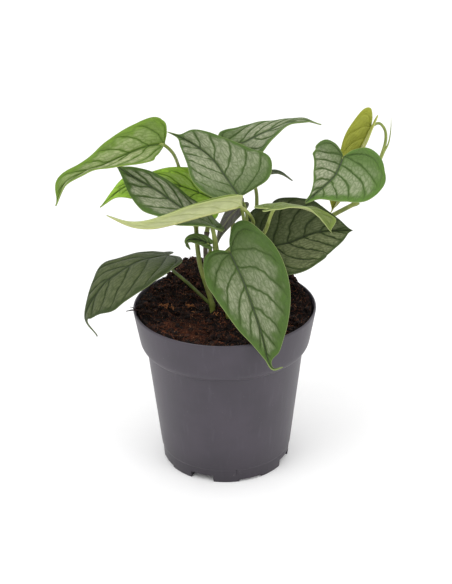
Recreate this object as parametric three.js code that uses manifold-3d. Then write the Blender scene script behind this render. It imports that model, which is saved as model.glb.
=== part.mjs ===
// A young silver-leaved climbing aroid, with five stems and fifteen heart-shaped leaves,
// standing in coir soil in a round 12 cm nursery pot.
// Millimetres, +Z up. The origin is on the pot's axis, on the surface the pot stands on.
import * as THREE from 'three';
import { mergeVertices } from 'three/addons/utils/BufferGeometryUtils.js';
import Module from 'manifold-3d';

const wasm = await Module();
wasm.setup();

// Pot
const POT_HEIGHT = 111;
const RIM_RADIUS = 60;
const COLLAR_HEIGHT = 24;
const COLLAR_FOOT_RADIUS = 56;
const BODY_TOP_RADIUS = 51.8;
const BODY_FOOT_RADIUS = 43.8;
const FOOT_RADIUS = 42.6;
const FOOT_HEIGHT = 9.2;
const WALL = 1.4;
const FLOOR_Z = 5;
const FLOOR_THICKNESS = 1.5;
const FOOT_RING_WIDTH = 5;
const CENTRE_BOSS_RADIUS = 9;
const NOTCH_COUNT = 8;
const NOTCH_WIDTH = 16;
const DEEP_NOTCH_HEIGHT = 4.8;
const SHALLOW_NOTCH_HEIGHT = 1.7;
const DRAIN_RADIUS = 3.5;
const DRAIN_CIRCLE = 29;
const ROUND_STEPS = 48;

// Soil
const GAP = 0.3;
const SOIL_SIDE_GAP = 0.5;
const HOLE_CLEARANCE = 0.9;
const SOIL_EDGE_Z = 103.5;
const SOIL_EDGE_RISE = 5;
const SOIL_LUMP = 1.2;

// Plant
const BLADE_THICKNESS = 0.8;
const STEM_RADIUS = 1.7;
const PETIOLE_RADIUS = 1.1;
const BLADE_STEPS_ALONG = 18;
const BLADE_STEPS_ACROSS = 3;

// Smooth curve through points of any dimension, at u from 0 to 1.
function curveAt(points, u) {
  const last = points.length - 1;
  const x = Math.min(Math.max(u, 0), 1) * last;
  const i = Math.min(Math.floor(x), last - 1);
  const f = x - i;
  const b = points[i];
  const c = points[i + 1];
  const a = i > 0 ? points[i - 1] : b.map((v, k) => 2 * v - c[k]);
  const d = i + 2 <= last ? points[i + 2] : c.map((v, k) => 2 * v - b[k]);
  return b.map((v, k) => 0.5 * (2 * v + (c[k] - a[k]) * f
    + (2 * a[k] - 5 * v + 4 * c[k] - d[k]) * f * f
    + (3 * v - a[k] - 3 * c[k] + d[k]) * f ** 3));
}

// Half of a heart-shaped outline laid flat: x along the rib from its base, y away from the rib.
// It runs from the notch at the base, round the lobe, to the tip.
function halfOutline(length, half) {
  const { wide, lobe, drip, full, swell } = half;
  const body = length - drip;
  const wedge = Math.max(0, -lobe);
  const line = [
    [0, 0],
    [-0.55 * lobe, 0.13 * wide],
    [-lobe, 0.4 * wide],
    [-0.72 * lobe + wedge, 0.72 * wide],
    [0.06 * body + 1.2 * wedge, 0.94 * wide],
    [(0.19 + 0.5 * full) * body, wide],
    [(0.37 + full) * body, 0.93 * wide],
    [(0.55 + full) * body, 0.72 * wide],
    [(0.71 + 0.8 * full) * body, 0.45 * wide],
    [(0.85 + 0.4 * full) * body, 0.2 * wide],
    [0.95 * body, drip > 0 ? Math.max(0.06 * wide, 1.2) : 0.06 * wide],
    [length, 0],
  ];
  swell.forEach((extra, k) => {
    line[k + 5][1] += extra;
  });
  return line;
}

// Lays flat blade points on a rib that is a curve in space. The blade folds along the rib.
function bladeSurface(leaf) {
  const samples = 200;
  const reach = [0];
  let before = new THREE.Vector3(...leaf.rib[0]);
  for (let i = 1; i <= samples; i++) {
    const here = new THREE.Vector3(...curveAt(leaf.rib, i / samples));
    reach.push(reach[i - 1] + here.distanceTo(before));
    before = here;
  }
  const length = reach[samples];

  function ribShare(x) {
    if (x <= 0) return 0;
    if (x >= length) return 1;
    let i = 1;
    while (reach[i] < x) i++;
    return (i - 1 + (x - reach[i - 1]) / (reach[i] - reach[i - 1])) / samples;
  }

  function frame(x) {
    const u = ribShare(x);
    const ahead = new THREE.Vector3(...curveAt(leaf.rib, Math.min(u + 0.001, 1)));
    const back = new THREE.Vector3(...curveAt(leaf.rib, Math.max(u - 0.001, 0)));
    const along = ahead.sub(back).normalize();
    const share = Math.min(Math.max(x, 0), length) / length;
    const up = new THREE.Vector3(...(leaf.face.length > 1 ? curveAt(leaf.face, share) : leaf.face[0]));
    up.addScaledVector(along, -up.dot(along)).normalize();
    const across = new THREE.Vector3().crossVectors(along, up);
    const origin = new THREE.Vector3(...curveAt(leaf.rib, u)).addScaledVector(along, Math.min(x, 0));
    return { origin, along, up, across };
  }

  function point(x, y, side) {
    const { wide, fold, curl } = side > 0 ? leaf.right : leaf.left;
    const { origin, up, across } = frame(x);
    const start = THREE.MathUtils.degToRad(fold);
    const bend = THREE.MathUtils.degToRad(curl) || 0.001;
    const end = start - bend * y / wide;
    const out = wide / bend * (Math.sin(start) - Math.sin(end));
    const rise = wide / bend * (Math.cos(end) - Math.cos(start));
    return origin.addScaledVector(across, side * out).addScaledVector(up, rise);
  }

  return { length, frame, point };
}

// A blade: both halves gridded by lines that leave the rib and arch forward to the edge,
// as the side veins do. The two faces are split into triangles alike and joined round the edge.
function bladeGeometry(leaf) {
  const surface = bladeSurface(leaf);
  const points = [];
  const byKey = new Map();
  const faces = [];
  const edge = [];

  function vertex(x, y, side) {
    const p = surface.point(x, y, side);
    const key = [p.x, p.y, p.z].map((v) => v.toFixed(3)).join(' ');
    if (!byKey.has(key)) {
      byKey.set(key, points.length);
      points.push(p);
    }
    return byKey.get(key);
  }

  for (const side of [1, -1]) {
    const outline = halfOutline(surface.length, side > 0 ? leaf.right : leaf.left);
    const rows = [];
    for (let i = 0; i <= BLADE_STEPS_ALONG; i++) {
      const t = i / BLADE_STEPS_ALONG;
      const [ex, ey] = curveAt(outline, t);
      const root = surface.length * Math.max(0, (t - 0.28) / 0.72) ** 1.15;
      const row = [];
      for (let j = 0; j <= BLADE_STEPS_ACROSS; j++) {
        const v = j / BLADE_STEPS_ACROSS;
        row.push(vertex(root + (ex - root) * v ** 1.25, Math.max(ey, 0) * v, side));
      }
      rows.push(row);
    }
    for (let i = 0; i < BLADE_STEPS_ALONG; i++) {
      for (let j = 0; j < BLADE_STEPS_ACROSS; j++) {
        const a = rows[i][j];
        const b = rows[i + 1][j];
        const c = rows[i + 1][j + 1];
        const d = rows[i][j + 1];
        for (const f of [[a, b, c], [a, c, d]]) {
          if (new Set(f).size === 3) faces.push(side > 0 ? f.reverse() : f);
        }
      }
    }
    const rim = rows.map((row) => row[BLADE_STEPS_ACROSS]).filter((p, i, all) => i === 0 || p !== all[i - 1]);
    edge.push(side > 0 ? rim : rim.reverse());
  }

  const normals = points.map(() => new THREE.Vector3());
  for (const [a, b, c] of faces) {
    const n = new THREE.Vector3().crossVectors(
      points[b].clone().sub(points[a]),
      points[c].clone().sub(points[a]),
    ).normalize();
    for (const k of [a, b, c]) normals[k].add(n);
  }
  normals.forEach((n) => n.normalize());

  const position = [];
  for (const side of [1, -1]) {
    points.forEach((p, k) => {
      const q = p.clone().addScaledVector(normals[k], side * BLADE_THICKNESS / 2);
      position.push(q.x, q.y, q.z);
    });
  }
  const under = points.length;
  const index = [];
  for (const [a, b, c] of faces) {
    index.push(a, b, c, under + a, under + c, under + b);
  }
  for (const rim of edge) {
    for (let i = 1; i < rim.length; i++) {
      const a = rim[i - 1];
      const b = rim[i];
      index.push(a, under + a, b, b, under + a, under + b);
    }
  }
  const geometry = new THREE.BufferGeometry();
  geometry.setAttribute('position', new THREE.Float32BufferAttribute(position, 3));
  geometry.setIndex(index);
  return geometry;
}

// Joining and cutting of closed shapes.
function solid(geometry) {
  const bare = geometry.clone();
  bare.deleteAttribute('normal');
  bare.deleteAttribute('uv');
  const merged = mergeVertices(bare, 0.0001);
  return new wasm.Manifold(new wasm.Mesh({
    numProp: 3,
    vertProperties: Float32Array.from(merged.attributes.position.array),
    triVerts: Uint32Array.from(merged.index.array),
  }));
}

function fromSolid(body) {
  const mesh = body.getMesh();
  const geometry = new THREE.BufferGeometry();
  geometry.setAttribute('position', new THREE.Float32BufferAttribute(mesh.vertProperties, 3));
  geometry.setIndex(Array.from(mesh.triVerts));
  return geometry;
}

// A round rod along a curve through the given points.
function rod(points, radius, steps, sides = 6) {
  const section = new THREE.Shape();
  for (let k = 0; k < sides; k++) {
    const a = 2 * Math.PI * k / sides;
    if (k === 0) section.moveTo(radius * Math.cos(a), radius * Math.sin(a));
    else section.lineTo(radius * Math.cos(a), radius * Math.sin(a));
  }
  section.closePath();
  const path = new THREE.CatmullRomCurve3(points.map((p) => new THREE.Vector3(...p)));
  return solid(new THREE.ExtrudeGeometry(section, { steps, extrudePath: path, bevelEnabled: false }));
}

function knot(at, radius) {
  return solid(new THREE.IcosahedronGeometry(radius, 1)).translate(at);
}

// Leaves: the rib runs from the notch to the tip, and face is the way that the upper side looks
// at the base, the middle and the tip. Left and right are seen from above, base to tip:
// wide is the half's width, lobe how far it reaches behind the notch, fold its rise in degrees,
// curl how far it bends back down, drip the length of the thin tip and full a fuller middle.
// Swell is what the margin's waves add to the width at five places from the shoulder to the tip.
const half = (wide, lobe, fold, curl = 0, swell = []) => (
  { wide, lobe, fold, curl, swell, drip: 0, full: 0 }
);

function leaf(rib, face, left, right, drip = 0, full = 0) {
  return { rib, face, left: { ...left, drip, full }, right: { ...right, drip, full } };
}

const LEAVES = {
  leaf_top_left: leaf(
    [[-37, 8, 219], [-47, 4, 219], [-59, -1, 216], [-73, -6, 211], [-85, -11, 208], [-97, -15, 202],
      [-104, -19, 189]],
    [[0.36, -0.9, 0.79], [-0.12, -0.28, 0.9], [-0.9, -0.4, 0.61]],
    half(11.3, -3.7, 20, 0, [2.8, 2.5, 0.6, -0.4, 1.5]),
    half(18.7, 2.5, 30, 0, [-2.9, -3.6, -2.7, -1.8, 2.8]), 0, -0.04),
  leaf_centre: leaf(
    [[10, -3, 187], [1, 14, 195], [-7, 26, 202], [-18, 38, 207], [-29, 48, 210], [-37, 52, 212]],
    [[0.04, -0.4, 0.9], [-0.08, -0.49, 0.9], [-0.35, -0.9, 0.39]],
    half(26.7, 3.8, 24, 0, [0.4, 0.1, 0.3, 0.9, 1.4]),
    half(28.8, 1, 24, 0, [1.3, -3.1, -4.4, -0.8, 2.5]), 6, -0.01),
  leaf_back: leaf(
    [[3, 52, 203], [13, 51, 204], [23, 48, 210], [34, 45, 216], [45, 43, 221], [55, 41, 222], [64, 40, 220]],
    [[-0.16, -0.76, 0.9], [-0.51, -0.19, 0.9], [0.23, 0.24, 0.9]],
    half(12.8, 6, 4, 0, [0.8, -0.6, -0.3, -1, 1.8]),
    half(16.9, 9, -1, 0, [-0.3, 3.4, -1.5, -3.3, 0.1])),
  leaf_left: leaf(
    [[-7, -5, 168], [-17, -2, 173], [-28, 2, 179], [-42, 7, 188], [-57, 11, 196], [-69, 14, 204]],
    [[0.55, 0.34, 0.9], [0.39, -0.55, 0.9], [-0.17, -0.9, 0.08]],
    half(23.9, 7.9, 1, 0, [2.4, -3, 1.8, 2, 0.6]),
    half(14.3, 7, 16, 0, [-0.9, -2.3, -0.4, 2.1, 2.4]), 0, 0.02),
  leaf_left_behind: leaf(
    [[-7, 23, 176], [-21, 24, 182], [-35, 23, 187], [-49, 21, 189], [-64, 18, 186], [-80, 15, 174]],
    [[0.17, -0.9, 0.56], [0.2, -0.9, 0.71], [-0.67, -0.53, 0.9]],
    half(20, 7, 11, 0, [0, -0.1, -0.6, 2.5, -0.8]),
    half(11.6, 5, 10, 0, [2.4, 0.1, -2.9, 1.2, 0.6])),
  leaf_rolled: leaf(
    [[11, -20, 188], [3, -23, 187], [-15, -27, 184], [-32, -29, 180], [-45, -30, 178], [-58, -28, 179],
      [-72, -25, 185]],
    [[0, 0.25, 1]],
    half(12, 1, 76, 50), half(9, 1, 86, 20)),
  leaf_small: leaf(
    [[-9, -8, 157], [-15, -10, 161], [-21, -12, 162.5], [-23.5, -13, 160.5], [-21.5, -14, 156]],
    [[0.1, -0.6, 0.8], [-0.2, -0.6, 0.8], [-0.8, -0.5, 0.4]],
    half(4.4, 2, 12), half(4.2, 2, 12), 2, 0.12),
  leaf_front: leaf(
    [[4, -20, 156], [11, -33, 145], [15, -42, 137], [22, -57, 120], [28, -66, 100], [35.5, -67, 100]],
    [[-0.43, -0.9, 0.79], [0.01, -0.9, 0.83], [-0.06, -0.41, 0.9]],
    half(28.9, 14.7, 16, 0, [-0.1, -0.7, -0.5, 0.1, 2.2]),
    half(21.4, 6, 19, 0, [1.1, -0.8, -0.9, -1.8, -1]), 7, 0.09),
  leaf_low_left: leaf(
    [[-37, -2, 147], [-54, -6, 145], [-67, -10, 139], [-78, -13, 131], [-89.8, -16, 111], [-83, -16, 96]],
    [[-0.14, 0.17, 0.9], [-0.73, -0.48, 0.9], [-0.9, -0.52, -0.34]],
    half(30.2, 7.5, -5, 0, [-0.5, -2.9, 0.4, -1.5, 0.4]),
    half(18.3, 5.8, -5, 0, [-2.8, 2.5, -0.4, -2.2, -1.5]), 10, 0.11),
  leaf_right: leaf(
    [[25, 10, 144], [35, 12, 147], [43, 14, 148], [57, 18, 152], [66, 20, 153], [85, 24, 152]],
    [[-0.17, -0.48, 0.9], [-0.09, -0.59, 0.9], [0.22, -0.9, 0.66]],
    half(32.5, 6.9, 11, 0, [-2.2, 2.3, 1.2, -0.4, 0.6]),
    half(30.4, 9, 11, 0, [-0.3, -1.2, -0.4, 0.5, 1.6]), 0, 0.05),
  leaf_right_arched: leaf(
    [[31, -24, 188], [40, -24, 189], [49, -24, 188], [58, -24, 184], [63, -24, 179], [67, -24, 171]],
    [[-0.1, 0.36, 0.9], [0.37, 0.53, 0.9], [0.55, -0.9, 0.28]],
    half(17, 12, 12, 0, [-1, 1.5, -2.5, -0.6, 3.5]),
    half(9.5, 7, -10, 0, [1, 0.7, -0.8, -1.6, -0.6]), 0, 0.1),
  leaf_top_right: leaf(
    [[77, 22, 204], [74, 16, 199], [70, 9, 195], [64, 2, 192], [59, -4, 190], [51, -12, 186]],
    [[0.34, -0.9, 0.88], [0.35, -0.69, 0.9], [-0.14, -0.31, 0.9]],
    half(31.4, 12.5, 12, 0, [-0.6, -1.6, -2.8, 0.3, -1.3]),
    half(21.8, 5, 16, 0, [-1.6, -0.2, -3, -4, -2]), 0, -0.01),
  leaf_young: leaf(
    [[97, 48, 215], [94.5, 48, 209], [91, 48, 201], [86, 48, 185], [79, 49, 169], [72, 50, 154]],
    [[-0.51, -0.9, 0.21], [-0.24, -0.9, 0.05]],
    half(11.9, 10.4, 63, 0, [-0.8, -0.1, 0.6, 2, 2.5]),
    half(13.4, 11.2, 11, 0, [-0.4, -0.4, 0.4, 2, 3.5]), 0, -0.02),
  leaf_back_low: leaf(
    [[11, 23, 189], [20, 23, 192], [29, 23, 193], [37, 23, 193], [45, 23, 188]],
    [[-0.4, 0.2, 0.9], [0, 0.2, 1], [0.6, 0.1, 0.8]],
    half(12, 4, 4), half(12, 4, 4)),
  leaf_rear_narrow: leaf(
    [[13, 18, 175], [5, 16, 167], [-2, 14, 156], [-5, 12, 146]],
    [[0.5, 0.8, 0.2]],
    half(5, 2, 10), half(5, 2, 10)),
};

// Where a leaf's stalk ends: its seat is that far under the notch, on the lower side.
function stalkEnd({ to, seat }) {
  const { origin, up } = bladeSurface(LEAVES[to]).frame(0);
  return origin.addScaledVector(up, -seat).toArray();
}

// Stems and the leaf stalks that grow from them. Each stem starts in its hole in the soil.
const STEMS = {
  stem_left: {
    stem: [[-8, -3, 94], [-8, -3, 110], [-11, -2, 123], [-15, -1, 137], [-17, 2, 150], [-18, 13, 162]],
    stalks: [
      { to: 'leaf_top_left', seat: 0.8, via: [[-18, 13, 162], [-21.5, 23, 170], [-26, 33, 182], [-29, 35, 194], [-32, 24, 207]] },
      { to: 'leaf_low_left', seat: 1.3, via: [[-9, -3, 112], [-23, -5, 128], [-34, -6, 139.5]] },
    ],
  },
  stem_middle: {
    stem: [[-3, 5, 94], [-3, 5, 110], [-9, 5.5, 126], [-12, 8, 143], [-11, 12, 157]],
    stalks: [
      { to: 'leaf_left_behind', seat: 1.8, via: [[-11, 12, 157], [-9, 17, 166]] },
      { to: 'leaf_small', seat: 1.4, via: [[-11.5, 7.5, 139], [-9, 2, 147]] },
    ],
  },
  stem_front: {
    stem: [[2, -7, 94], [2, -7, 110], [-2, -6, 122], [-3, -6, 138], [-2, -6, 148]],
    stalks: [
      { to: 'leaf_front', seat: 1.5, via: [[-2, -6, 146], [0, -13, 152]] },
      { to: 'leaf_left', seat: 1.5, via: [[-3, -6, 138], [-5, -3, 150], [-6, -4, 160]] },
      { to: 'leaf_rolled', seat: 1.5, via: [[-2, -6, 147], [8, -4, 156], [18, -5, 168], [17, -10, 177]] },
    ],
  },
  stem_back: {
    stem: [[7, 3, 94], [7, 3, 110], [8, 5, 122], [10, 6, 136]],
    stalks: [
      { to: 'leaf_centre', seat: 0.9, via: [[10, 6, 136], [12, 1, 155], [13, -1, 169]] },
      { to: 'leaf_right', seat: 1.7, via: [[8, 5, 122], [14, 8, 132]] },
      { to: 'leaf_right_arched', seat: 1.7, via: [[10, 6, 134], [18, -6, 152], [26, -13, 168], [29, -19, 180]] },
      { to: 'leaf_rear_narrow', seat: 1.8, via: [[10, 6, 136], [14, 8, 152], [15, 12, 166]] },
    ],
  },
  stem_right: {
    stem: [[4, 14, 94], [4, 14, 110], [10, 17, 122], [30, 28, 138], [55, 36, 148], [74, 40, 157], [90, 42, 165]],
    stalks: [
      { to: 'leaf_top_right', seat: 1.3, via: [[88, 42, 164], [87, 37, 180], [80, 28, 196]] },
      { to: 'leaf_young', seat: 1.6, via: [[89, 42, 165], [99, 44, 181], [104, 47, 194], [106.8, 48, 204],
        [106.8, 49, 211], [104.5, 49.5, 215.5], [101.5, 49.5, 217]] },
      { to: 'leaf_back', seat: 1.8, via: [[14, 19, 125], [20, 34, 146], [22, 39, 163], [21, 41, 177], [14, 47, 190]] },
      { to: 'leaf_back_low', seat: 1.3, via: [[5, 15, 114], [5, 22, 140], [7, 24, 168]] },
    ],
  },
};

function vine(plan) {
  let body = rod(plan.stem, STEM_RADIUS, plan.stem.length * 2, 8);
  for (const stalk of plan.stalks) {
    const path = [...stalk.via, stalkEnd(stalk)];
    body = body.add(rod(path, PETIOLE_RADIUS, path.length * 2));
    body = body.add(knot(path[0], STEM_RADIUS + 0.5));
  }
  return fromSolid(body);
}

// The pot's outer and inner lines, turned about its axis.
const potLine = [
  [0, 0], [CENTRE_BOSS_RADIUS, 0], [CENTRE_BOSS_RADIUS, FLOOR_Z],
  [FOOT_RADIUS - FOOT_RING_WIDTH, FLOOR_Z], [FOOT_RADIUS - FOOT_RING_WIDTH, 0],
  [FOOT_RADIUS, 0], [FOOT_RADIUS + 0.5, FOOT_HEIGHT], [BODY_FOOT_RADIUS, FOOT_HEIGHT + 0.8],
  [BODY_TOP_RADIUS, POT_HEIGHT - COLLAR_HEIGHT - 5], [BODY_TOP_RADIUS + 1.6, POT_HEIGHT - COLLAR_HEIGHT - 4],
  [COLLAR_FOOT_RADIUS, POT_HEIGHT - COLLAR_HEIGHT], [RIM_RADIUS, POT_HEIGHT - 1],
  [RIM_RADIUS - 0.6, POT_HEIGHT], [RIM_RADIUS - WALL, POT_HEIGHT - 0.4],
  [COLLAR_FOOT_RADIUS - WALL, POT_HEIGHT - COLLAR_HEIGHT + 1],
  [BODY_TOP_RADIUS - WALL, POT_HEIGHT - COLLAR_HEIGHT - 4],
  [BODY_FOOT_RADIUS - WALL, FOOT_HEIGHT + 1.2],
  [FOOT_RADIUS - WALL, FLOOR_Z + FLOOR_THICKNESS], [0, FLOOR_Z + FLOOR_THICKNESS],
];

function turned(line) {
  const lathe = new THREE.LatheGeometry(line.map(([r, z]) => new THREE.Vector2(r, z)), ROUND_STEPS);
  return solid(lathe.rotateX(Math.PI / 2));
}

function potGeometry() {
  let body = turned(potLine);
  for (let k = 0; k < NOTCH_COUNT; k++) {
    const turn = 2 * Math.PI * (k + 0.5) / NOTCH_COUNT;
    const height = k % 2 ? DEEP_NOTCH_HEIGHT : SHALLOW_NOTCH_HEIGHT;
    const notch = new THREE.BoxGeometry(10, NOTCH_WIDTH, height + 2);
    notch.translate(FOOT_RADIUS - 1, 0, (height - 2) / 2).rotateZ(turn);
    body = body.subtract(solid(notch));
    const drain = new THREE.CylinderGeometry(DRAIN_RADIUS, DRAIN_RADIUS, 6, 10);
    drain.rotateX(Math.PI / 2).translate(DRAIN_CIRCLE, 0, FLOOR_Z + 1).rotateZ(turn);
    body = body.subtract(solid(drain));
  }
  return fromSolid(body);
}

// Soil level at a place: lumpy, and heaped against the back of the rim.
function soilLevel(x, y) {
  const heap = (cx, cy, reach, height) => height * Math.exp(-((x - cx) ** 2 + (y - cy) ** 2) / reach ** 2);
  const lumps = Math.sin(0.42 * x + 0.31 * y) + Math.sin(0.37 * y - 0.29 * x + 1)
    + 0.7 * Math.sin(0.83 * x + 2) * Math.sin(0.77 * y + 1);
  return SOIL_EDGE_Z + 1 + SOIL_LUMP * 0.5 * lumps + SOIL_EDGE_RISE * (Math.hypot(x, y) / 57) ** 5
    + heap(-22, 45, 15, 12) + heap(43, 38, 14, 10.5) + heap(-30, -30, 18, 2) + heap(0, 5, 16, 2);
}

function soilGeometry() {
  const rings = [
    { r: FOOT_RADIUS - WALL - SOIL_SIDE_GAP, z: FLOOR_Z + FLOOR_THICKNESS + GAP },
    { r: BODY_TOP_RADIUS - WALL - SOIL_SIDE_GAP, z: POT_HEIGHT - COLLAR_HEIGHT - 4 },
    { r: COLLAR_FOOT_RADIUS - WALL - SOIL_SIDE_GAP, z: POT_HEIGHT - COLLAR_HEIGHT + 1 },
    { r: 56.7, rough: true },
  ];
  for (const r of [52, 44, 36, 27, 18, 9]) rings.push({ r, rough: true });
  const position = [0, 0, FLOOR_Z + FLOOR_THICKNESS + GAP];
  for (const { r, z, rough } of rings) {
    for (let k = 0; k < ROUND_STEPS; k++) {
      const a = 2 * Math.PI * k / ROUND_STEPS;
      const x = r * Math.sin(a);
      const y = -r * Math.cos(a);
      position.push(x, y, rough ? soilLevel(x, y) : z);
    }
  }
  position.push(0, 0, soilLevel(0, 0));
  const index = [];
  const at = (ring, k) => 1 + ring * ROUND_STEPS + k % ROUND_STEPS;
  const top = position.length / 3 - 1;
  for (let k = 0; k < ROUND_STEPS; k++) {
    index.push(0, at(0, k + 1), at(0, k));
    for (let ring = 1; ring < rings.length; ring++) {
      index.push(at(ring - 1, k), at(ring - 1, k + 1), at(ring, k + 1));
      index.push(at(ring - 1, k), at(ring, k + 1), at(ring, k));
    }
    index.push(top, at(rings.length - 1, k), at(rings.length - 1, k + 1));
  }
  const geometry = new THREE.BufferGeometry();
  geometry.setAttribute('position', new THREE.Float32BufferAttribute(position, 3));
  geometry.setIndex(index);
  let body = solid(geometry);
  for (const { stem } of Object.values(STEMS)) {
    const [x, y, z] = stem[0];
    const bore = STEM_RADIUS + HOLE_CLEARANCE;
    const hole = new THREE.CylinderGeometry(bore, bore, 40, 12);
    hole.rotateX(Math.PI / 2).translate(x, y, z - GAP + 20);
    body = body.subtract(solid(hole));
  }
  return fromSolid(body);
}

// Materials
const slateBlack = { color: 0x585660, roughness: 0.42, metalness: 0 };
const darkSoil = { color: 0x2a1a14, roughness: 0.95, metalness: 0 };
const stemGreen = { color: 0x7c8a48, roughness: 0.55, metalness: 0 };
const silverGreen = { color: 0x7f9a70, roughness: 0.45, metalness: 0 };
const limeGreen = { color: 0x7d9f4a, roughness: 0.45, metalness: 0 };
const deepGreen = { color: 0x55664a, roughness: 0.45, metalness: 0 };
const paleGreen = { color: 0xbec88c, roughness: 0.5, metalness: 0 };
const youngGreen = { color: 0x969b32, roughness: 0.5, metalness: 0 };
const LEAF_COLOURS = {
  leaf_top_left: limeGreen,
  leaf_left_behind: limeGreen,
  leaf_low_left: deepGreen,
  leaf_right: deepGreen,
  leaf_back_low: deepGreen,
  leaf_small: deepGreen,
  leaf_rear_narrow: deepGreen,
  leaf_rolled: paleGreen,
  leaf_right_arched: paleGreen,
  leaf_young: youngGreen,
};

const plant = new THREE.Group();

function place(name, geometry, finish) {
  geometry.computeVertexNormals();
  const mesh = new THREE.Mesh(geometry, new THREE.MeshStandardMaterial(finish));
  mesh.name = name;
  plant.add(mesh);
}

place('pot', potGeometry(), slateBlack);
place('soil', soilGeometry(), darkSoil);
for (const [name, plan] of Object.entries(STEMS)) place(name, vine(plan), stemGreen);
for (const [name, shape] of Object.entries(LEAVES)) {
  place(name, bladeGeometry(shape), LEAF_COLOURS[name] ?? silverGreen);
}

export default plant;
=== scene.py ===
import math
import random

import bmesh
import bpy
import numpy as np
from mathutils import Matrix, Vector, noise


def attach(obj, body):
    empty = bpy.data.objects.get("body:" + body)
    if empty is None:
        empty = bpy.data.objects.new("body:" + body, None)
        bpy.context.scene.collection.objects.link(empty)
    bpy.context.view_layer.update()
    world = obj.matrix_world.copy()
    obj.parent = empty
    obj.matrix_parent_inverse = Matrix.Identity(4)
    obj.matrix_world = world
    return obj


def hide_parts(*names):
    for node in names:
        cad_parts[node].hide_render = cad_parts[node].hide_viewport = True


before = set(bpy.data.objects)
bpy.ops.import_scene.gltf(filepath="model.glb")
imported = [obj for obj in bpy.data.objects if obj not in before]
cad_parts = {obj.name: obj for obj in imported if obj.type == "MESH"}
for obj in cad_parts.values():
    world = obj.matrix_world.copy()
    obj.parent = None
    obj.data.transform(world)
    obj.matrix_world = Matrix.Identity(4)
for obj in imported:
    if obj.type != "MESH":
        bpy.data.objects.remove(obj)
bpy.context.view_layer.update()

# Pot: a round 12 cm nursery pot in slate-grey polypropylene, moulded in one shot.
# It has a wide collar to grip, a stacking ledge, and a foot notched for drainage,
# deep and shallow notches by turns.
POT_HEIGHT = 111
RIM_RADIUS = 60
COLLAR_FOOT_RADIUS = 56
COLLAR_FOOT_Z = 87
BODY_TOP_RADIUS = 51.8
BODY_FOOT_RADIUS = 43.8
FOOT_RADIUS = 42.6
FOOT_HEIGHT = 9.2
WALL = 1.4
FLOOR_TOP_Z = 6.5
FOOT_RING_WIDTH = 5
BOSS_RADIUS = 9
UNDERSIDE_Z = 5
NOTCH_COUNT = 8
NOTCH_WIDTH = 16
DEEP_NOTCH = 4.8
SHALLOW_NOTCH = 1.7
DRAIN_HOLE_RADIUS = 3.5
DRAIN_RING_RADIUS = 29
SLIT_SIZE = (1.0, 0.7, 4.3)
SLIT_Z = 8
SLIT_TURN = 13.5
EDGE_ROUNDING = 0.8
POT_ROUND_STEPS = 240
MM = 0.001


def mesh_piece(name, points_mm, faces, materials=(), face_materials=None):
    """A mesh object from points in millimetres, shaded smooth."""
    mesh = bpy.data.meshes.new(name)
    mesh.from_pydata([(x * MM, y * MM, z * MM) for x, y, z in points_mm], [], faces)
    for material in materials:
        mesh.materials.append(material)
    mesh.polygons.foreach_set("use_smooth", [True] * len(mesh.polygons))
    if face_materials is not None:
        mesh.polygons.foreach_set("material_index", face_materials)
    mesh.update()
    piece = bpy.data.objects.new(name, mesh)
    bpy.context.scene.collection.objects.link(piece)
    return piece


def eased(line, radius):
    """A profile line with each corner rounded off."""
    soft = [line[0]]
    for before, corner, after in zip(line, line[1:], line[2:]):
        corner = Vector(corner)
        arms = [Vector(before) - corner, Vector(after) - corner]
        ends = [corner + arm.normalized() * min(radius, arm.length * 0.45) for arm in arms]
        middle = (ends[0] + corner * 2 + ends[1]) / 4
        soft += [tuple(ends[0]), tuple(middle), tuple(ends[1])]
    return soft + [line[-1]]


def ring_faces(count, steps):
    """Faces of a closed round mesh: points 0 and 1 lie on the axis, and rings of points follow."""
    last = 2 + (count - 1) * steps
    faces = []
    for k in range(steps):
        n = (k + 1) % steps
        faces.append((0, 2 + n, 2 + k))
        for low in range(2, last, steps):
            faces.append((low + k, low + n, low + steps + n, low + steps + k))
        faces.append((1, last + k, last + n))
    return faces


def turned(line, steps):
    """Points and faces of a closed line, from axis to axis, turned about the pot's axis."""
    points = [(0, 0, line[0][1]), (0, 0, line[-1][1])]
    for r, z in line[1:-1]:
        points += [(r * math.sin(2 * math.pi * k / steps), -r * math.cos(2 * math.pi * k / steps), z)
                   for k in range(steps)]
    return points, ring_faces(len(line) - 2, steps)


def feed(tree, node, inputs):
    """Each given input of a node linked to an output or set to a value."""
    for key, value in inputs.items():
        if isinstance(value, bpy.types.NodeSocket):
            tree.links.new(value, node.inputs[key])
        else:
            node.inputs[key].default_value = value


def put(tree, kind, inputs=None, **settings):
    """A shader node with its settings made and its inputs set or linked."""
    made = tree.nodes.new("ShaderNode" + kind)
    for key, value in settings.items():
        setattr(made, key, value)
    feed(tree, made, inputs or {})
    return made


def new_skin(name):
    """A new material, its node tree and its main shader."""
    material = bpy.data.materials.new(name)
    material.use_nodes = True
    return material, material.node_tree, material.node_tree.nodes["Principled BSDF"]


def relief(tree, height, strength, depth_mm):
    """Bumps in the skin, depth_mm deep where the height goes from 0 to 1."""
    return put(tree, "Bump", {"Height": height, "Strength": strength,
                              "Distance": depth_mm * MM}).outputs[0]


def sums(tree, way, one, other=0.0):
    return put(tree, "Math", {0: one, 1: other}, operation=way).outputs[0]


def share(tree, value, start, end):
    """0 at start, 1 at end, and smooth between them."""
    return put(tree, "MapRange", {"Value": value, "From Min": start, "From Max": end},
               interpolation_type="SMOOTHSTEP").outputs[0]


def tint(tree, amount, under, over, way="MIX"):
    made = put(tree, "Mix", {0: amount, 6: under, 7: over}, data_type="RGBA", blend_type=way)
    return made.outputs[2]


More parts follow.
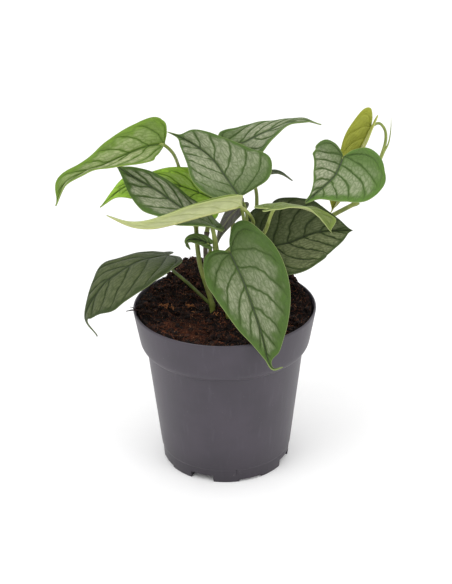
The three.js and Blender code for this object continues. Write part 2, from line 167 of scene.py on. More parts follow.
def colour(red, green, blue):
    """A colour given in 0 to 255 as the eye sees it, as the light values that the shader takes."""
    parts = [c / 255 for c in (red, green, blue)]
    return [c / 12.92 if c <= 0.04045 else ((c + 0.055) / 1.055) ** 2.4 for c in parts] + [1]


def grain(tree, where, size_mm, detail=3.0, rough=0.55):
    """Even noise from 0 to 1 whose patches are about size_mm across, for places given in metres."""
    return put(tree, "TexNoise", {"Vector": where, "Scale": 1 / (size_mm * MM), "Detail": detail,
                                  "Roughness": rough}).outputs["Fac"]


pot_line = [
    (0, 0), (BOSS_RADIUS, 0), (BOSS_RADIUS, UNDERSIDE_Z), (FOOT_RADIUS - FOOT_RING_WIDTH, UNDERSIDE_Z),
    (FOOT_RADIUS - FOOT_RING_WIDTH, 0), (FOOT_RADIUS, 0),
    (FOOT_RADIUS + 0.5, FOOT_HEIGHT), (BODY_FOOT_RADIUS, FOOT_HEIGHT + 0.8),
    (BODY_TOP_RADIUS, COLLAR_FOOT_Z - 5), (BODY_TOP_RADIUS + 1.6, COLLAR_FOOT_Z - 4.1),
    (BODY_TOP_RADIUS + 3.1, COLLAR_FOOT_Z - 2.4), (COLLAR_FOOT_RADIUS - 0.2, COLLAR_FOOT_Z - 0.4),
    (COLLAR_FOOT_RADIUS + 0.35, COLLAR_FOOT_Z + 2.1),
    (RIM_RADIUS, POT_HEIGHT - 1), (RIM_RADIUS - 0.6, POT_HEIGHT),
    (RIM_RADIUS - WALL, POT_HEIGHT - 0.4), (COLLAR_FOOT_RADIUS - WALL, COLLAR_FOOT_Z + 1),
    (BODY_TOP_RADIUS - WALL, COLLAR_FOOT_Z - 4), (BODY_FOOT_RADIUS - WALL, FOOT_HEIGHT + 1.2),
    (FOOT_RADIUS - WALL, FLOOR_TOP_Z), (0, FLOOR_TOP_Z),
]
pot = mesh_piece("pot_shell", *turned(eased(pot_line, EDGE_ROUNDING), POT_ROUND_STEPS))

cutters = bmesh.new()
for k in range(NOTCH_COUNT):
    turn = math.radians(360 / NOTCH_COUNT * (k + 0.5))
    height = DEEP_NOTCH if k % 2 else SHALLOW_NOTCH
    notch = bmesh.ops.create_cube(cutters, size=1)["verts"]
    bmesh.ops.scale(cutters, vec=(10 * MM, NOTCH_WIDTH * MM, (height + 2) * MM), verts=notch)
    bmesh.ops.translate(cutters, vec=((FOOT_RADIUS - 1) * MM, 0, (height - 2) / 2 * MM), verts=notch)
    drain = bmesh.ops.create_cone(cutters, cap_ends=True, segments=32, radius1=DRAIN_HOLE_RADIUS * MM,
                                  radius2=DRAIN_HOLE_RADIUS * MM, depth=6 * MM)["verts"]
    bmesh.ops.translate(cutters, vec=(DRAIN_RING_RADIUS * MM, 0, 6 * MM), verts=drain)
    cuts = [(notch + drain, turn)]
    if k % 2 == 0:
        slit = bmesh.ops.create_cube(cutters, size=1)["verts"]
        bmesh.ops.scale(cutters, vec=[side * MM for side in SLIT_SIZE], verts=slit)
        bmesh.ops.translate(cutters, vec=((FOOT_RADIUS + 0.6) * MM, 0, SLIT_Z * MM), verts=slit)
        cuts.append((slit, turn - math.radians(SLIT_TURN)))
    for verts, angle in cuts:
        for v in verts:
            x, y = v.co.x, v.co.y
            v.co.x = x * math.cos(angle) - y * math.sin(angle)
            v.co.y = x * math.sin(angle) + y * math.cos(angle)
cut_mesh = bpy.data.meshes.new("pot_cuts")
cutters.to_mesh(cut_mesh)
cutters.free()
cut_object = bpy.data.objects.new("pot_cuts", cut_mesh)
bpy.context.scene.collection.objects.link(cut_object)
cut = pot.modifiers.new("cuts", "BOOLEAN")
cut.operation = "DIFFERENCE"
cut.solver = "EXACT"
cut.object = cut_object
bpy.context.view_layer.update()
pot.data = bpy.data.meshes.new_from_object(pot.evaluated_get(bpy.context.evaluated_depsgraph_get()))
pot.modifiers.clear()
bpy.data.objects.remove(cut_object)
pot.data.polygons.foreach_set("use_smooth", [True] * len(pot.data.polygons))
pot.data.set_sharp_from_angle(angle=math.radians(38))

pot_plastic, tree, skin = new_skin("pot_plastic")
spot = put(tree, "TexCoord").outputs["Object"]
height = put(tree, "SeparateXYZ", {0: spot}).outputs[2]
cloud = grain(tree, spot, 30)
base = tint(tree, share(tree, cloud, 0.3, 0.7), colour(63, 59, 66), colour(70, 65, 73))
flow = put(tree, "Mapping", {"Vector": spot, "Scale": (1, 1, 0.12)}).outputs[0]
streaks = share(tree, grain(tree, flow, 3), 0.56, 0.72)
base = tint(tree, sums(tree, "MULTIPLY", streaks, 0.16), base, colour(88, 84, 92))
low = share(tree, height, 0.022, 0.002)
scuffs = share(tree, grain(tree, spot, 2.2, 5, 0.7), 0.66, 0.74)
dust = share(tree, grain(tree, spot, 0.9, 2), 0.735, 0.78)
marks = sums(tree, "MAXIMUM", sums(tree, "MULTIPLY", scuffs, low), sums(tree, "MULTIPLY", dust, 0.5))
base = tint(tree, sums(tree, "MULTIPLY", marks, 0.7), base, colour(168, 160, 158))
# Painted shade: the lowest 34 mm of the pot darken towards the floor, where shade falls.
base = tint(tree, sums(tree, "MULTIPLY", share(tree, height, 0.034, 0.0), 0.4), base, colour(34, 31, 35))
rough = sums(tree, "ADD", sums(tree, "MULTIPLY", cloud, 0.12), sums(tree, "MULTIPLY", marks, 0.3))
bumps = sums(tree, "ADD", grain(tree, spot, 0.5, 2), sums(tree, "MULTIPLY", grain(tree, flow, 5), 1.5))
feed(tree, skin, {"Base Color": base, "Roughness": sums(tree, "ADD", rough, 0.36),
                  "Specular IOR Level": 0.28, "Normal": relief(tree, bumps, 0.12, 0.3)})
pot.data.materials.clear()
pot.data.materials.append(pot_plastic)
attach(pot, "root")
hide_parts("pot")

# Soil: fine peat and coir that fills the pot to a finger's breadth under the rim.
# It was pressed in by hand, so it is lumpy, banked up along the wall, heaped against the back
# of the rim and a little round the stems.
SOIL_EDGE_Z = 103.5
SOIL_EDGE_RISE = 5
SOIL_LUMP = 1.2
SOIL_RADIUS = 56.9
CLOD_WIDTH, CLOD_HEIGHT = 7, 1.7
CRUMB_WIDTH, CRUMB_HEIGHT = 2.2, 1.3
SOIL_HEAPS = [(-22, 45, 15, 12), (43, 38, 14, 10.5), (-30, -30, 18, 2), (0, 5, 16, 2)]
SOIL_RINGS = 76
SOIL_ROUND_STEPS = 220


def soil_level(x, y):
    """Height of the pressed soil, before its crumb."""
    lumps = (math.sin(0.42 * x + 0.31 * y) + math.sin(0.37 * y - 0.29 * x + 1)
             + 0.7 * math.sin(0.83 * x + 2) * math.sin(0.77 * y + 1))
    heaps = sum(h * math.exp(-((x - cx) ** 2 + (y - cy) ** 2) / reach ** 2)
                for cx, cy, reach, h in SOIL_HEAPS)
    edge = SOIL_EDGE_RISE * (math.hypot(x, y) / 57) ** 5
    return SOIL_EDGE_Z + 1 + SOIL_LUMP * 0.5 * lumps + edge + heaps


def soil_top(x, y):
    """Height of the soil with the clods and crumbs of its surface."""
    clods = noise.fractal(Vector((x / CLOD_WIDTH, y / CLOD_WIDTH, 3.7)), 1.0, 2.0, 3)
    crumbs = noise.fractal(Vector((x / CRUMB_WIDTH, y / CRUMB_WIDTH, 9.1)), 0.8, 2.1, 3)
    return soil_level(x, y) + (CLOD_HEIGHT * clods + CRUMB_HEIGHT * crumbs)


soil_points = [(0, 0, FLOOR_TOP_Z + 0.3), (0, 0, soil_level(0, 0))]
soil_lines = [(FOOT_RADIUS - WALL - 0.5, FLOOR_TOP_Z + 0.3),
              (BODY_TOP_RADIUS - WALL - 0.5, COLLAR_FOOT_Z - 4),
              (COLLAR_FOOT_RADIUS - WALL - 0.5, COLLAR_FOOT_Z + 1), (56.2, 97)]
soil_lines += [(SOIL_RADIUS * (1 - i / SOIL_RINGS), None) for i in range(SOIL_RINGS)]
for r, z in soil_lines:
    for k in range(SOIL_ROUND_STEPS):
        a = 2 * math.pi * k / SOIL_ROUND_STEPS
        x, y = r * math.sin(a), -r * math.cos(a)
        soil_points.append((x, y, soil_top(x, y) if z is None else z))


def soil_finish(name, dark, warm, pale, bump_mm):
    """Damp peat: very dark, with warmer coir dust in patches and a few pale specks."""
    material, tree, skin = new_skin(name)
    spot = put(tree, "TexCoord").outputs["Object"]
    patches = share(tree, grain(tree, spot, 7, 4, 0.65), 0.48, 0.7)
    fine = grain(tree, spot, 1.1, 4, 0.7)
    base = tint(tree, sums(tree, "MULTIPLY", patches, share(tree, fine, 0.35, 0.7)), dark, warm)
    base = tint(tree, share(tree, grain(tree, spot, 0.8, 2), 0.63, 0.73), base, pale)
    feed(tree, skin, {"Base Color": base, "Roughness": 0.95, "Specular IOR Level": 0.25,
                      "Normal": relief(tree, fine, 0.8, bump_mm)})
    return material


peat = soil_finish("peat", colour(13, 8, 8), colour(78, 44, 32), colour(150, 98, 66), 1.2)
soil = mesh_piece("soil_fill", soil_points, ring_faces(len(soil_lines), SOIL_ROUND_STEPS), [peat])
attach(soil, "root")
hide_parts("soil")

# Loose crumbs: clods of peat and coir dust a few millimetres across that lie on the soil.
# They are thickest on the heaps at the back, where they stand over the rim.
CRUMB_COUNT = 2600
draw = random.Random(41)


def soil_place(reach):
    """A place on the soil, up to reach from the pot's axis, and its height."""
    r = reach * math.sqrt(draw.random())
    a = draw.uniform(0, 2 * math.pi)
    x, y = r * math.cos(a), r * math.sin(a)
    return x, y, soil_top(x, y)


def heap_place():
    """A place on the two heaps at the back of the pot."""
    while True:
        cx, cy, reach, _ = SOIL_HEAPS[draw.random() < 0.35]
        x, y = draw.gauss(cx, reach * 0.5), draw.gauss(cy, reach * 0.45)
        if math.hypot(x, y) < 56:
            return x, y, soil_top(x, y)


def add_clod(points, faces, at, size):
    """One rough lump, an icosahedron pushed in and out at each corner."""
    shape = bmesh.new()
    bmesh.ops.create_icosphere(shape, subdivisions=1, radius=1)
    start = len(points)
    seed = draw.uniform(0, 100)
    stretch = [draw.uniform(0.7, 1.25) for _ in range(3)]
    turn = draw.uniform(0, math.pi)
    for v in shape.verts:
        swell = size * (1 + 0.45 * noise.noise(v.co * 1.7 + Vector((seed, 0, 0))))
        x, y, z = (v.co[i] * stretch[i] * swell for i in range(3))
        points.append((at[0] + x * math.cos(turn) - y * math.sin(turn),
                       at[1] + x * math.sin(turn) + y * math.cos(turn), at[2] + z * 0.8))
    faces += [tuple(start + v.index for v in f.verts) for f in shape.faces]
    shape.free()


crumb_points, crumb_faces = [], []
for n in range(CRUMB_COUNT):
    on_heap = n % 3 == 0
    place = heap_place() if on_heap else soil_place(56)
    size = 0.4 + (2.4 if on_heap else 1.8) * draw.random() ** 3
    add_clod(crumb_points, crumb_faces, (place[0], place[1], place[2] + 0.35 * size), size)
crumb_peat = soil_finish("crumb_peat", colour(22, 13, 11), colour(98, 58, 40), colour(164, 112, 74), 0.4)
crumbs = mesh_piece("soil_crumbs", crumb_points, crumb_faces, [crumb_peat])
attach(crumbs, "root")

# Coir fibres: short brown and rust-coloured hairs of coconut husk that stick out of the soil.
# A mat of them lies at the front left, and some bristle from the crest of the heaps.
FIBRE_COUNT = 1500
MAT_CENTRE = (-27, -34)
MAT_SPREAD = (10, 8)


def add_tube(points, faces, path, radii, sides):
    """A tube of the given radii along a path of points, closed at both ends."""
    path = np.asarray(path, float)
    along = np.gradient(path, axis=0)
    along /= np.linalg.norm(along, axis=1, keepdims=True) + 1e-9
    side = np.cross(along[0], (0.31, 0.2, 0.93))
    start = len(points)
    for p, t, r in zip(path, along, radii):
        side = side - t * side.dot(t)
        side /= np.linalg.norm(side) + 1e-9
        up = np.cross(t, side)
        for k in range(sides):
            a = 2 * math.pi * k / sides
            points.append(tuple(p + r * (side * math.cos(a) + up * math.sin(a))))
    for i in range(len(path) - 1):
        for k in range(sides):
            n = (k + 1) % sides
            low, high = start + i * sides, start + (i + 1) * sides
            faces.append((low + k, low + n, high + n, high + k))
    faces.append(tuple(start + sides - 1 - k for k in range(sides)))
    faces.append(tuple(start + (len(path) - 1) * sides + k for k in range(sides)))


fibre_points, fibre_faces = [], []
for n in range(FIBRE_COUNT):
    if n % 5 < 2:
        x, y = (draw.gauss(middle, spread) for middle, spread in zip(MAT_CENTRE, MAT_SPREAD))
        if math.hypot(x, y) > 55:
            continue
        place = (x, y, soil_top(x, y))
        lift = draw.uniform(0.0, 0.35)
    elif n % 5 == 2:
        place = heap_place()
        lift = draw.uniform(0.1, 1.2)
    else:
        place = soil_place(55)
        lift = draw.uniform(0.0, 0.6)
    heading = draw.uniform(0, 2 * math.pi)
    length = draw.uniform(2.5, 9) * (0.55 if lift > 0.6 else 1)
    bend = draw.uniform(-1.6, 1.6)
    path = []
    x, y, z = place
    for i in range(6):
        s = i / 5
        path.append((x, y, z + 0.25 + lift * length * math.sin(1.9 * s) * 0.5))
        x += length / 5 * math.cos(heading + bend * s)
        y += length / 5 * math.sin(heading + bend * s)
        if math.hypot(x, y) > 56.5:
            x, y = x * 56.5 / math.hypot(x, y), y * 56.5 / math.hypot(x, y)
        if i > 0:
            z = max(z - 0.3, soil_top(x, y))
    thick = draw.uniform(0.1, 0.26)
    add_tube(fibre_points, fibre_faces, path, [thick * (1 - 0.6 * i / 5) for i in range(6)], 4)
coir = soil_finish("coir_fibre", colour(74, 40, 26), colour(172, 98, 60), colour(214, 170, 120), 0.1)
fibres = mesh_piece("coir_fibres", fibre_points, fibre_faces, [coir])
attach(fibres, "root")

# Husk bits: pale flakes and curls of coconut husk, a few millimetres long, that the potter's
# mix brings with it. They lie in loose rows on the soil at the left and in front of the stems.
HUSK_ROWS = [((-43, 6), (-30, 5), 26), ((-25, 9), (-21, 8), 22), ((-20, 1), (-17, 0), 8),
             ((-8, -8), (-1, -6), 12)]
HUSK_ARCH_STEP = 0.785
husk_points, husk_faces = [], []
for (x0, y0), (x1, y1), count in HUSK_ROWS:
    for n in range(count):
        f = draw.random()
        x, y = x0 + (x1 - x0) * f + draw.gauss(0, 0.5), y0 + (y1 - y0) * f + draw.gauss(0, 1.0)
        heading, length, arch = draw.uniform(0, 6.28), draw.uniform(1.2, 3.4), draw.uniform(0.2, 1.6)
        path = []
        for i in range(5):
            px = x + length * (i / 4 - 0.5) * math.cos(heading)
            py = y + length * (i / 4 - 0.5) * math.sin(heading)
            path.append((px, py, soil_top(px, py) + 0.2 + arch * math.sin(HUSK_ARCH_STEP * i)))
        add_tube(husk_points, husk_faces, path, [0.08, 0.16, 0.2, 0.16, 0.06], 5)
husk = soil_finish("husk", colour(176, 118, 74), colour(214, 156, 106), colour(236, 200, 160), 0.2)
husk_bits = mesh_piece("husk_bits", husk_points, husk_faces, [husk])
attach(husk_bits, "root")

# Twig: a dark, forked bit of dead root, under a millimetre and a half thick. It came with the
# potting mix, lies on the soil and pokes out over the rim at the left.
twig_points, twig_faces = [], []
twig_path = [(-47, -6, 108), (-53, -8, 110), (-57.5, -9.5, 111.9), (-60.5, -10, 112), (-64, -10, 111.2)]
add_tube(twig_points, twig_faces, twig_path, [0.7, 0.65, 0.6, 0.45, 0.25], 7)
fork_path = [(-57.5, -9.5, 111.9), (-60, -7.5, 112.8), (-62, -6.5, 112.6)]
add_tube(twig_points, twig_faces, fork_path, [0.35, 0.3, 0.15], 5)
bark = soil_finish("root_bark", colour(38, 26, 22), colour(70, 48, 38), colour(104, 80, 62), 0.2)
twig = mesh_piece("root_twig", twig_points, twig_faces, [bark])
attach(twig, "root")

# Leaf blades: heart-shaped, leathery and half a millimetre thick, each on its own stalk.
# The upper face is quilted between sunken veins and silvered between them, with a green border;
# the underside is pale and its midrib stands out.
BLADE_THICKNESS = 0.55
BLADE_ROWS = 112
BLADE_COLUMNS = 30
LOBE_SHARE = 0.28
SIDE_VEINS = 6
LOBE_VEINS = 2.6
VEIN_LEAN = 1.2
VEIN_ARCH = 0.8
VEIN_GROOVE, RIB_GROOVE = 0.22, 0.35
VEIN_RIDGE, RIB_RIDGE = 0.22, 0.75
WIDEST_VEIN_GAP = 16


def half(wide, lobe, fold, curl=0, swell=()):
    """Half a blade: its width, how far its lobe reaches behind the notch, its rise and curl in
    degrees, and what the margin's waves add to the width at five places from shoulder to tip."""
    return {"wide": wide, "lobe": lobe, "fold": fold, "curl": curl, "swell": swell}


def leaf(rib, face, left, right, drip=0, full=0, wave=0.5, quilt=1, silver=(1, 1), lime_and_painted_light=(0, 0),
         painted_shade=(0, 0), border=((2, 5), (2, 5))):
    """A blade's plan. rib runs from notch to tip; face is where the upper side looks, base to tip.
    wave is how far the margin swings, and quilt how far the panels between the veins swell, in mm.
    silver, then the lighter lime and the painted shade, say for the left and the right half how much
    of each shows; the lighter lime is partly the leaf's own colour and partly painted light. border
    says where its green border ends and the silver starts, in mm from the margin."""
    return {"rib": rib, "face": face, "halves": {-1: left, 1: right}, "drip": drip, "full": full,
            "wave": wave, "quilt": quilt, "silver": silver, "lime_and_painted_light": lime_and_painted_light, "painted_shade": painted_shade,
            "border": border}


LEAVES = {
    "leaf_top_left": leaf(
        [(-37, 8, 219), (-47, 4, 219), (-59, -1, 216), (-73, -6, 211), (-85, -11, 208), (-97, -15, 202),
         (-104, -19, 189)],
        [(0.36, -0.9, 0.79), (-0.12, -0.28, 0.9), (-0.9, -0.4, 0.61)],
        half(11.3, -3.7, 20, 0, [2.8, 2.5, 0.6, -0.4, 1.5]),
        half(18.7, 2.5, 30, 0, [-2.9, -3.6, -2.7, -1.8, 2.8]),
        0, -0.04, wave=0.8, silver=(1, 0.65), lime_and_painted_light=(0, 0.12), border=((0, 2), (1.5, 8))),
    "leaf_centre": leaf(
        [(10, -3, 187), (1, 14, 195), (-7, 26, 202), (-18, 38, 207), (-29, 48, 210), (-37, 52, 212)],
        [(0.04, -0.4, 0.9), (-0.08, -0.49, 0.9), (-0.35, -0.9, 0.39)],
        half(26.7, 3.8, 24, 0, [0.4, 0.1, 0.3, 0.9, 1.4]),
        half(28.8, 1, 24, 0, [1.3, -3.1, -4.4, -0.8, 2.5]),
        6, -0.01, quilt=1.3, silver=(0.88, 0.72), border=((1, 3), (1, 4))),
    "leaf_back": leaf(
        [(3, 52, 203), (13, 51, 204), (23, 48, 210), (34, 45, 216), (45, 43, 221), (55, 41, 222),
         (64, 40, 220)],
        [(-0.16, -0.76, 0.9), (-0.51, -0.19, 0.9), (0.23, 0.24, 0.9)],
        half(12.8, 6, 4, 0, [0.8, -0.6, -0.3, -1, 1.8]),
        half(16.9, 9, -1, 0, [-0.3, 3.4, -1.5, -3.3, 0.1]),
        wave=0.7, silver=(1, 0.9), border=((0.5, 2.5), (1, 4))),
    "leaf_left": leaf(
        [(-7, -5, 168), (-17, -2, 173), (-28, 2, 179), (-42, 7, 188), (-57, 11, 196), (-69, 14, 204)],
        [(0.55, 0.34, 0.9), (0.39, -0.55, 0.9), (-0.17, -0.9, 0.08)],
        half(23.9, 7.9, 1, 0, [2.4, -3, 1.8, 2, 0.6]),
        half(14.3, 7, 16, 0, [-0.9, -2.3, -0.4, 2.1, 2.4]),
        0, 0.02, wave=0.6, silver=(0.9, 0.95), border=((1.5, 5), (0.8, 3))),
    "leaf_left_behind": leaf(
        [(-7, 23, 176), (-21, 24, 182), (-35, 23, 187), (-49, 21, 189), (-64, 18, 186), (-80, 15, 174)],
        [(0.17, -0.9, 0.56), (0.2, -0.9, 0.71), (-0.67, -0.53, 0.9)],
        half(20, 7, 11, 0, [0, -0.1, -0.6, 2.5, -0.8]),
        half(11.6, 5, 10, 0, [2.4, 0.1, -2.9, 1.2, 0.6]),
        wave=0.9, silver=(0.3, 0.45), lime_and_painted_light=(1, 1)),
    "leaf_rolled": leaf(
        [(11, -20, 188), (3, -23, 187), (-15, -27, 184), (-32, -29, 180), (-45, -30, 178),
         (-58, -28, 179), (-72, -25, 185)],
        [(0, 0.25, 1)],
        half(12, 1, 76, 50),
        half(9, 1, 86, 20),
        wave=0.2, quilt=0.3, silver=(0.4, 0.4)),
    "leaf_small": leaf(
        [(-9, -8, 157), (-15, -10, 161), (-21, -12, 162.5), (-23.5, -13, 160.5), (-21.5, -14, 156)],
        [(0.1, -0.6, 0.8), (-0.2, -0.6, 0.8), (-0.8, -0.5, 0.4)],
        half(4.4, 2, 12),
        half(4.2, 2, 12),
        2, 0.12, wave=0.3, quilt=0.3, silver=(0.8, 0.8), lime_and_painted_light=(1, 1), border=((0, 1), (0, 1))),
    "leaf_front": leaf(
        [(4, -20, 156), (11, -33, 145), (15, -42, 137), (22, -57, 120), (28, -66, 100), (35.5, -67, 100)],
        [(-0.43, -0.9, 0.79), (0.01, -0.9, 0.83), (-0.06, -0.41, 0.9)],
        half(28.9, 14.7, 16, 0, [-0.1, -0.7, -0.5, 0.1, 2.2]),
        half(21.4, 6, 19, 0, [1.1, -0.8, -0.9, -1.8, -1]),
        7, 0.09, quilt=1.3, silver=(0.72, 0.78), painted_shade=(0.4, 0.25), border=((4, 11), (2, 7))),
    "leaf_low_left": leaf(
        [(-37, -2, 147), (-54, -6, 145), (-67, -10, 139), (-78, -13, 131), (-89.8, -16, 111),
         (-83, -16, 96)],
        [(-0.14, 0.17, 0.9), (-0.73, -0.48, 0.9), (-0.9, -0.52, -0.34)],
        half(30.2, 7.5, -5, 0, [-0.5, -2.9, 0.4, -1.5, 0.4]),
        half(18.3, 5.8, -5, 0, [-2.8, 2.5, -0.4, -2.2, -1.5]),
        10, 0.11, silver=(0.95, 0.9), painted_shade=(1, 1), border=((1, 4), (1, 4))),
    "leaf_right": leaf(
        [(25, 10, 144), (35, 12, 147), (43, 14, 148), (57, 18, 152), (66, 20, 153), (85, 24, 152)],
        [(-0.17, -0.48, 0.9), (-0.09, -0.59, 0.9), (0.22, -0.9, 0.66)],
        half(32.5, 6.9, 11, 0, [-2.2, 2.3, 1.2, -0.4, 0.6]),
        half(30.4, 9, 11, 0, [-0.3, -1.2, -0.4, 0.5, 1.6]),
        0, 0.05, silver=(0.9, 1), painted_shade=(0.95, 0.3), border=((0.8, 3), (0.8, 3))),
    "leaf_right_arched": leaf(
        [(31, -24, 188), (40, -24, 189), (49, -24, 188), (58, -24, 184), (63, -24, 179), (67, -24, 171)],
        [(-0.1, 0.36, 0.9), (0.37, 0.53, 0.9), (0.55, -0.9, 0.28)],
        half(17, 12, 12, 0, [-1, 1.5, -2.5, -0.6, 3.5]),
        half(9.5, 7, -10, 0, [1, 0.7, -0.8, -1.6, -0.6]),
        0, 0.1, quilt=0.6, silver=(0.4, 0.4), painted_shade=(0.25, 0.25)),
    "leaf_top_right": leaf(
        [(77, 22, 204), (74, 16, 199), (70, 9, 195), (64, 2, 192), (59, -4, 190), (51, -12, 186)],
        [(0.34, -0.9, 0.88), (0.35, -0.69, 0.9), (-0.14, -0.31, 0.9)],
        half(31.4, 12.5, 12, 0, [-0.6, -1.6, -2.8, 0.3, -1.3]),
        half(21.8, 5, 16, 0, [-1.6, -0.2, -3, -4, -2]),
        0, -0.01, quilt=1.2, silver=(0.75, 1), lime_and_painted_light=(0.35, 0), border=((2, 9), (0.3, 2.5))),
    "leaf_young": leaf(
        [(97, 48, 215), (94.5, 48, 209), (91, 48, 201), (86, 48, 185), (79, 49, 169), (72, 50, 154)],
        [(-0.51, -0.9, 0.21), (-0.24, -0.9, 0.05)],
        half(11.9, 10.4, 63, 0, [-0.8, -0.1, 0.6, 2, 2.5]),
        half(13.4, 11.2, 11, 0, [-0.4, -0.4, 0.4, 2, 3.5]),
        0, -0.02, wave=0.2, quilt=0.4, silver=(1, 0), border=((-4, -2), (2, 5))),
    "leaf_back_low": leaf(
        [(11, 23, 189), (20, 23, 192), (29, 23, 193), (37, 23, 193), (45, 23, 188)],
        [(-0.4, 0.2, 0.9), (0, 0.2, 1), (0.6, 0.1, 0.8)],
        half(12, 4, 4),
        half(12, 4, 4),
        silver=(0.4, 0.4), painted_shade=(1, 1)),
    "leaf_rear_narrow": leaf(
        [(13, 18, 175), (5, 16, 167), (-2, 14, 156), (-5, 12, 146)],
        [(0.5, 0.8, 0.2)],
        half(5, 2, 10),
        half(5, 2, 10),
        wave=0.2, silver=(0.5, 0.5)),
}


def smooth_curve(points, u):
    """Points of a smooth curve through the given points, for an array u from 0 to 1."""
    points = np.asarray(points, float)
    last = len(points) - 1
    if last == 0:
        return np.broadcast_to(points[0], (len(u), points.shape[1]))
    x = np.clip(u, 0, 1) * last
    i = np.minimum(x.astype(int), last - 1)
    f = (x - i)[:, None]
    ends = np.vstack([2 * points[0] - points[1], points, 2 * points[-1] - points[-2]])
    a, b, c, d = ends[i], ends[i + 1], ends[i + 2], ends[i + 3]
    return 0.5 * (2 * b + (c - a) * f + (2 * a - 5 * b + 4 * c - d) * f ** 2
                  + (3 * b - a - 3 * c + d) * f ** 3)


def half_outline(length, side, drip, full):
    """Half of the heart shape laid flat: x along the rib from the notch, y away from it."""
    wide, lobe, body = side["wide"], side["lobe"], length - drip
    wedge = max(0, -lobe)
    line = np.array([
        (0, 0), (-0.55 * lobe, 0.13 * wide), (-lobe, 0.4 * wide), (-0.72 * lobe + wedge, 0.72 * wide),
        (0.06 * body + 1.2 * wedge, 0.94 * wide), ((0.19 + 0.5 * full) * body, wide),
        ((0.37 + full) * body, 0.93 * wide), ((0.55 + full) * body, 0.72 * wide),
        ((0.71 + 0.8 * full) * body, 0.45 * wide), ((0.85 + 0.4 * full) * body, 0.2 * wide),
        (0.95 * body, max(0.06 * wide, 1.2) if drip else 0.06 * wide), (length, 0),
    ])
    if len(side["swell"]):
        line[5:10, 1] += side["swell"]
    return line


def rib_of(plan):
    """Even steps along the rib's curve, from 0 to 1, and the length of rib up to each."""
    u = np.linspace(0, 1, 201)
    line = smooth_curve(plan["rib"], u)
    reach = np.concatenate([[0], np.cumsum(np.linalg.norm(np.diff(line, axis=0), axis=1))])
    return u, reach


def rib_frame(plan, x):
    """At distances x along the rib: the place, and the ways along, up from the blade and across."""
    u_of, reach = rib_of(plan)
    length = reach[-1]
    u = np.interp(np.clip(x, 0, length), reach, u_of)
    along = smooth_curve(plan["rib"], np.minimum(u + 0.001, 1))
    along = along - smooth_curve(plan["rib"], np.maximum(u - 0.001, 0))
    along /= np.linalg.norm(along, axis=1, keepdims=True)
    up = np.array(smooth_curve(plan["face"], np.clip(x, 0, length) / length))
    up = up - along * (up * along).sum(1, keepdims=True)
    up /= np.linalg.norm(up, axis=1, keepdims=True)
    place = smooth_curve(plan["rib"], u) + along * np.minimum(x, 0)[:, None]
    return place, along, up, np.cross(along, up)


def half_blade(plan, side):
    """One half as a grid: places and what the finish needs at each grid point."""
    _, reach = rib_of(plan)
    length = reach[-1]
    shape = plan["halves"][side]

    # Rows run from the rib to the margin: t goes along the margin and v out from the rib.
    t = np.linspace(0, 1, BLADE_ROWS + 1)
    v = np.linspace(0, 1, BLADE_COLUMNS + 1) ** 0.9
    rim = smooth_curve(half_outline(length, shape, plan["drip"], plan["full"]), t)
    rim[:, 1] = np.maximum(rim[:, 1], 0)
    root = length * np.maximum(0, (t - LOBE_SHARE) / (1 - LOBE_SHARE)) ** 1.15
    x = root[:, None] + (rim[:, :1] - root[:, None]) * v ** 1.25
    y = rim[:, 1:] * v

    # The half is folded up from the rib, curled back, and waved along its margin.
    place, _, up, across = (a.reshape(x.shape + (3,)) for a in rib_frame(plan, x.ravel()))
    start = math.radians(shape["fold"])
    bend = math.radians(shape["curl"]) or 0.001
    end = start - bend * y / shape["wide"]
    out = shape["wide"] / bend * (math.sin(start) - np.sin(end))
    rise = shape["wide"] / bend * (np.cos(end) - math.cos(start))
    swing = np.sin(x / length * 15 + 1.3 * side + length) + 0.6 * np.sin(x / length * 27 + 2.1 * side)
    rise = rise + plan["wave"] * 0.6 * swing * v ** 3 * np.minimum(1, rim[:, 1:] / 6)
    points = place + across * (side * out)[..., None] + up * rise[..., None]

    # phase counts the side veins, a whole number on each, and spacing is the gap between two in mm.
    past_lobe = t - LOBE_SHARE
    phase = np.where(past_lobe < 0, past_lobe / LOBE_SHARE * LOBE_VEINS,
                     past_lobe / (1 - LOBE_SHARE) * SIDE_VEINS)
    lean = rim[:, 1:] / shape["wide"]
    phase = phase[:, None] - lean * (VEIN_LEAN * v + VEIN_ARCH * v ** 3)
    (x_t, x_v), (y_t, y_v), (phase_t, phase_v) = (np.gradient(f, t, v) for f in (x, y, phase))
    area = x_t * y_v - x_v * y_t
    area = np.where(np.abs(area) < 1e-3, 1e-3, area)
    slope_x = (phase_t * y_v - phase_v * y_t) / area
    slope_y = (phase_v * x_t - phase_t * x_v) / area
    spacing = np.clip(1 / (np.hypot(slope_x, slope_y) + 1e-6), 0.05, WIDEST_VEIN_GAP)

    # edge is the way to the margin in mm, and border is 0 to 1 over the fade to silver.
    rim_way = np.gradient(rim, t, axis=0)
    rim_way /= np.linalg.norm(rim_way, axis=1, keepdims=True) + 1e-9
    row = rim - np.stack([root, np.zeros_like(root)], 1)
    depth = np.abs(row[:, 0] * rim_way[:, 1] - row[:, 1] * rim_way[:, 0])
    edge = depth[:, None] * (1 - v)
    vein_run = np.hypot(x - root[:, None], y)
    start_mm, end_mm = plan["border"][0 if side < 0 else 1]
    narrow = np.sqrt(shape["wide"] / (depth[:, None] + 2))
    border = (edge * np.clip(narrow, 0.8, 2.2) - start_mm) / (end_mm - start_mm)
    return {"points": points, "x": x, "y": y, "phase": phase, "spacing": spacing, "edge": edge,
            "run": vein_run, "border": border, "v": v * np.ones_like(x), "along": x / length}


